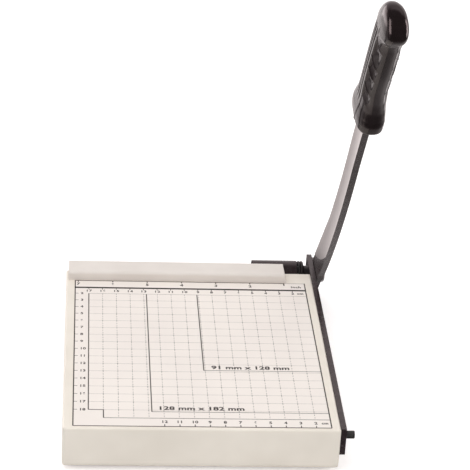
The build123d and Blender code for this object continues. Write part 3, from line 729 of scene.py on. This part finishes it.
def moulded_handle():
    """Surface rings from the recess in the skirt, over its lip, up the grip and over the crown."""
    built = bmesh.new()
    turns = [2 * math.pi * side / grip_sides for side in range(grip_sides)]

    def ring(section, inset, along):
        """Ring of one section of the handle, drawn in towards its middle by a share of its size."""
        points = [handle_point(section, turn) for turn in turns]
        middle_x = sum(point[0] for point in points) / len(points)
        middle_across = sum(point[1] for point in points) / len(points)
        drawn_in = []
        for x, across in points:
            x += (middle_x - x) * inset
            across += (middle_across - across) * inset
            drawn_in.append(built.verts.new(on_handle(along, x, across)))
        return drawn_in

    rings = [ring(grip_start, inset, grip_start + depth) for inset, depth in skirt_recess]
    along = grip_start
    while along < grip_end:
        rings.append(ring(along, 0.0, along))
        along += ring_pitch * (1.0 if skirt_end < along < pommel_start else end_pitch_share)
    for inset in crown_insets:
        rings.append(ring(grip_end, inset, grip_end + crown_dome * (1 - (1 - inset) ** 2)))
    return skin(built, rings)


glossy_black = finish(
    "glossy_black_moulding", Specular_IOR_Level=0.36, Specular_Tint=(1.0, 0.86, 0.86, 1),
)
coat(
    glossy_black, tints=((0.009, 0.006, 0.006), (0.014, 0.009, 0.010)), tint_lumps=0.012,
    roughness=(0.15, 0.22), gloss_lumps=0.005, relief_lumps=0.0016, relief_height=0.000003,
)
handle = finished_piece("moulded_handle", moulded_handle(), glossy_black, "arm", smooth=True)
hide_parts("handle_grip")

# ---- Floor, background and lamps ----
# A sheet of pale paper that keeps the cutter's shadow, in an even white surround. Two soft lamps light
# the cutter, and three tall soft boxes stand round the handle, where only glossy pieces mirror them.
floor_half = 6.0
paper_tints, paper_lumps = ((0.86, 0.86, 0.86), (0.87, 0.87, 0.87)), 0.3
camera_glow = 0.42  # lifts the paper that the camera sees to white
# glossy pieces see the paper as a painted glow: dim in front, lit behind, duller to the right, with a painted
# shadow
dim_paper, lit_paper, dim_to_lit = 0.10, 1.2, (-0.20, 0.25)
right_paper_share, towards_right = 0.45, (0.25, 0.60)
shadow_share, shadow_begins, shadow_ends = 0.08, (0.08, 0.15), (0.194, 0.214)


def mirrored_ramp(material, axis, places, start, end, output="Object"):
    """Strength that runs smoothly from start to end between two places along an axis."""
    return ramp(material, place_part(material, output, axis), *places, start, end, way="SMOOTHSTEP")


def either(material, first, second, factor):
    """Picks between two strengths by a factor from 0 to 1."""
    tree = material.node_tree
    pick = tree.nodes.new("ShaderNodeMix")
    for socket, value in (("Factor", factor), ("A", first), ("B", second)):
        if isinstance(value, (int, float)):
            pick.inputs[socket].default_value = value
        else:
            tree.links.new(value, pick.inputs[socket])
    return pick.outputs["Result"]


def light_rays(material):
    """Patterns of the rays that come from the camera, straight or through glass, and from glossy pieces."""
    rays = material.node_tree.nodes.new("ShaderNodeLightPath").outputs
    seen = math_node(material, "MAXIMUM", rays["Is Camera Ray"], rays["Is Transmission Ray"])
    return seen, rays["Is Glossy Ray"]


floor_mesh = bpy.data.meshes.new("studio_floor")
floor_corners = [(-1, -1), (1, -1), (1, 1), (-1, 1)]
floor_mesh.from_pydata([(x * floor_half, y * floor_half, 0) for x, y in floor_corners], [], [(0, 1, 2, 3)])
floor = bpy.data.objects.new("studio_floor", floor_mesh)
bpy.context.scene.collection.objects.link(floor)
floor_paper = finish(
    "floor_paper", Roughness=0.9, Specular_IOR_Level=0.0, Emission_Color=(1.0, 0.93, 0.92, 1),
)
paper_seen, paper_mirrored = light_rays(floor_paper)
paper_colour = mixed(floor_paper, grain(floor_paper, paper_lumps), *paper_tints)
drive(floor_paper, mixed(floor_paper, paper_mirrored, paper_colour, (0, 0, 0)), "Base Color")
front_to_back = mirrored_ramp(floor_paper, "Y", dim_to_lit, dim_paper, lit_paper)
left_to_right = mirrored_ramp(floor_paper, "X", towards_right, 1.0, right_paper_share)
# A painted shadow on the strip of paper close behind the cutter, seen only by glossy pieces, so the arm's
# root mirrors it dark.
into_shadow = mirrored_ramp(floor_paper, "Y", shadow_begins, 1.0, shadow_share)
out_of_shadow = mirrored_ramp(floor_paper, "Y", shadow_ends, shadow_share, 1.0)
mirrored_paper = math_node(floor_paper, "MULTIPLY", front_to_back, left_to_right)
shaded_strip = math_node(floor_paper, "MAXIMUM", into_shadow, out_of_shadow)
mirrored_paper = math_node(floor_paper, "MULTIPLY", mirrored_paper, shaded_strip)
camera_lift = math_node(floor_paper, "MULTIPLY", paper_seen, camera_glow)
drive(floor_paper, either(floor_paper, camera_lift, mirrored_paper, paper_mirrored), "Emission Strength")
floor_mesh.materials.append(floor_paper)

world = bpy.data.worlds.new("studio")
bpy.context.scene.world = world
world.use_nodes = True
background = world.node_tree.nodes["Background"]
plain_level = 0.72
dim_front, dim_to_white = 0.14, (0.02, 0.42)  # glossy pieces mirror a dim front and a white back
mirrored_tint = (1.0, 0.90, 0.90)
world_seen, world_mirrored = light_rays(world)
mirrored_world = mirrored_ramp(world, "Y", dim_to_white, dim_front, 1.0, output="Generated")
surround = either(world, plain_level, mirrored_world, world_mirrored)
surround_tint = mixed(world, world_mirrored, (1, 1, 1), mirrored_tint)
world.node_tree.links.new(surround_tint, background.inputs["Color"])
world.node_tree.links.new(either(world, surround, 1.0, world_seen), background.inputs["Strength"])


def soft_lamp(name, place, target, width, height, power):
    """Flat lamp of a given width and height that faces a target."""
    lamp = bpy.data.lights.new(name, "AREA")
    lamp.shape = "RECTANGLE"
    lamp.size = width
    lamp.size_y = height
    lamp.energy = power
    holder = bpy.data.objects.new(name, lamp)
    holder.location = place
    holder.rotation_euler = (Vector(target) - Vector(place)).to_track_quat("-Z", "Y").to_euler()
    holder.visible_camera = False
    bpy.context.scene.collection.objects.link(holder)
    return holder


lamp_target = (0, 0, 0.1)
for lamp_name, place, width, power in (
    ("upper_lamp", (-0.3, -0.2, 1.6), 1.2, 8.5),
    ("right_lamp", (1.0, -0.9, 0.9), 0.5, 2.5),
):
    soft_lamp(lamp_name, place, lamp_target, width, width, power).visible_glossy = False
grip_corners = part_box("handle_grip")
grip_middle = (grip_corners[0] + grip_corners[1]) / 2
for box_name, toward, away, width, height, radiance in (
    ("left_box", (-0.80, -0.46, 0.0), 0.45, 0.20, 0.50, 6.5),
    ("right_box", (0.98, -0.06, 0.0), 0.45, 0.26, 0.50, 7.5),
    ("back_left_box", (-0.74, 0.67, 0.03), 1.0, 0.85, 0.85, 2.5),
):
    place = grip_middle + Vector(toward).normalized() * away
    soft_box = soft_lamp(box_name, place, grip_middle, width, height, radiance * math.pi * width * height)
    soft_box.data.color = mirrored_tint
    soft_box.visible_diffuse = False

camera_data = bpy.data.cameras.new("camera")
camera_data.lens = 155.93
camera_data.sensor_width = 36.0
camera = bpy.data.objects.new("camera", camera_data)
camera_place = spot(-179.7, -1329.2, 714.8)
camera_yaw, camera_drop, camera_roll = 4.987, 26.831, 3.258
aim = Matrix.Rotation(math.radians(-camera_yaw), 4, "Z")
aim = aim @ Matrix.Rotation(math.radians(90 - camera_drop), 4, "X")
aim = aim @ Matrix.Rotation(math.radians(camera_roll), 4, "Z")
camera.matrix_world = Matrix.Translation(camera_place) @ aim
bpy.context.scene.collection.objects.link(camera)
bpy.context.scene.camera = camera
bpy.context.scene.view_settings.view_transform = "Standard"
